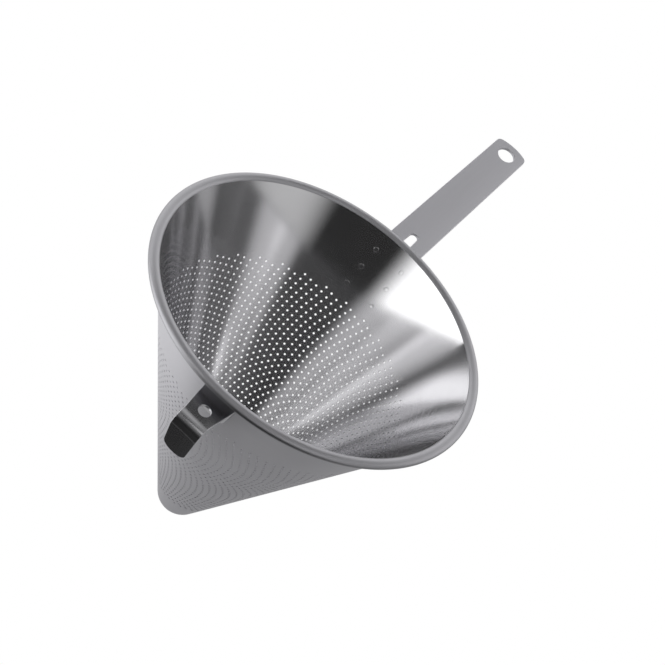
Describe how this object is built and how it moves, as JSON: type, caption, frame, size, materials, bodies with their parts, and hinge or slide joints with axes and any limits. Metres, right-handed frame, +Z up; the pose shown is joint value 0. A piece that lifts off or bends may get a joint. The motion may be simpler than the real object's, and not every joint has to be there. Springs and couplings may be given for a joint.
{
  "type": "chinois strainer",
  "caption": "Conical steel kitchen strainer with a perforated lower wall, a rolled wired rim, a forked flat strip handle with a hanging hole and a bent hook that catches the edge of a pot.",
  "frame": {"origin": "centre of the rim, at the middle of its round bead", "axes": "+Z up along the cone's axis and out of its mouth, +X to the handle, the pot hook on the -X side"},
  "size_m": [0.3439, 0.2, 0.2041],
  "materials": {
    "satin_sheet": "spun satin stainless steel, polished inside",
    "wire": "drawn wire",
    "satin_strip": "satin stainless steel strip",
    "polished_strip": "mirror polished stainless steel strip",
    "weld": "pressed spot weld"
  },
  "bodies": {
    "root": {"strainer_cone": "satin_sheet", "rim_wire": "wire", "handle": "satin_strip", "pot_hook": "polished_strip", "handle_spot_welds": "weld", "hook_spot_welds": "weld"}
  },
  "joints": []
}
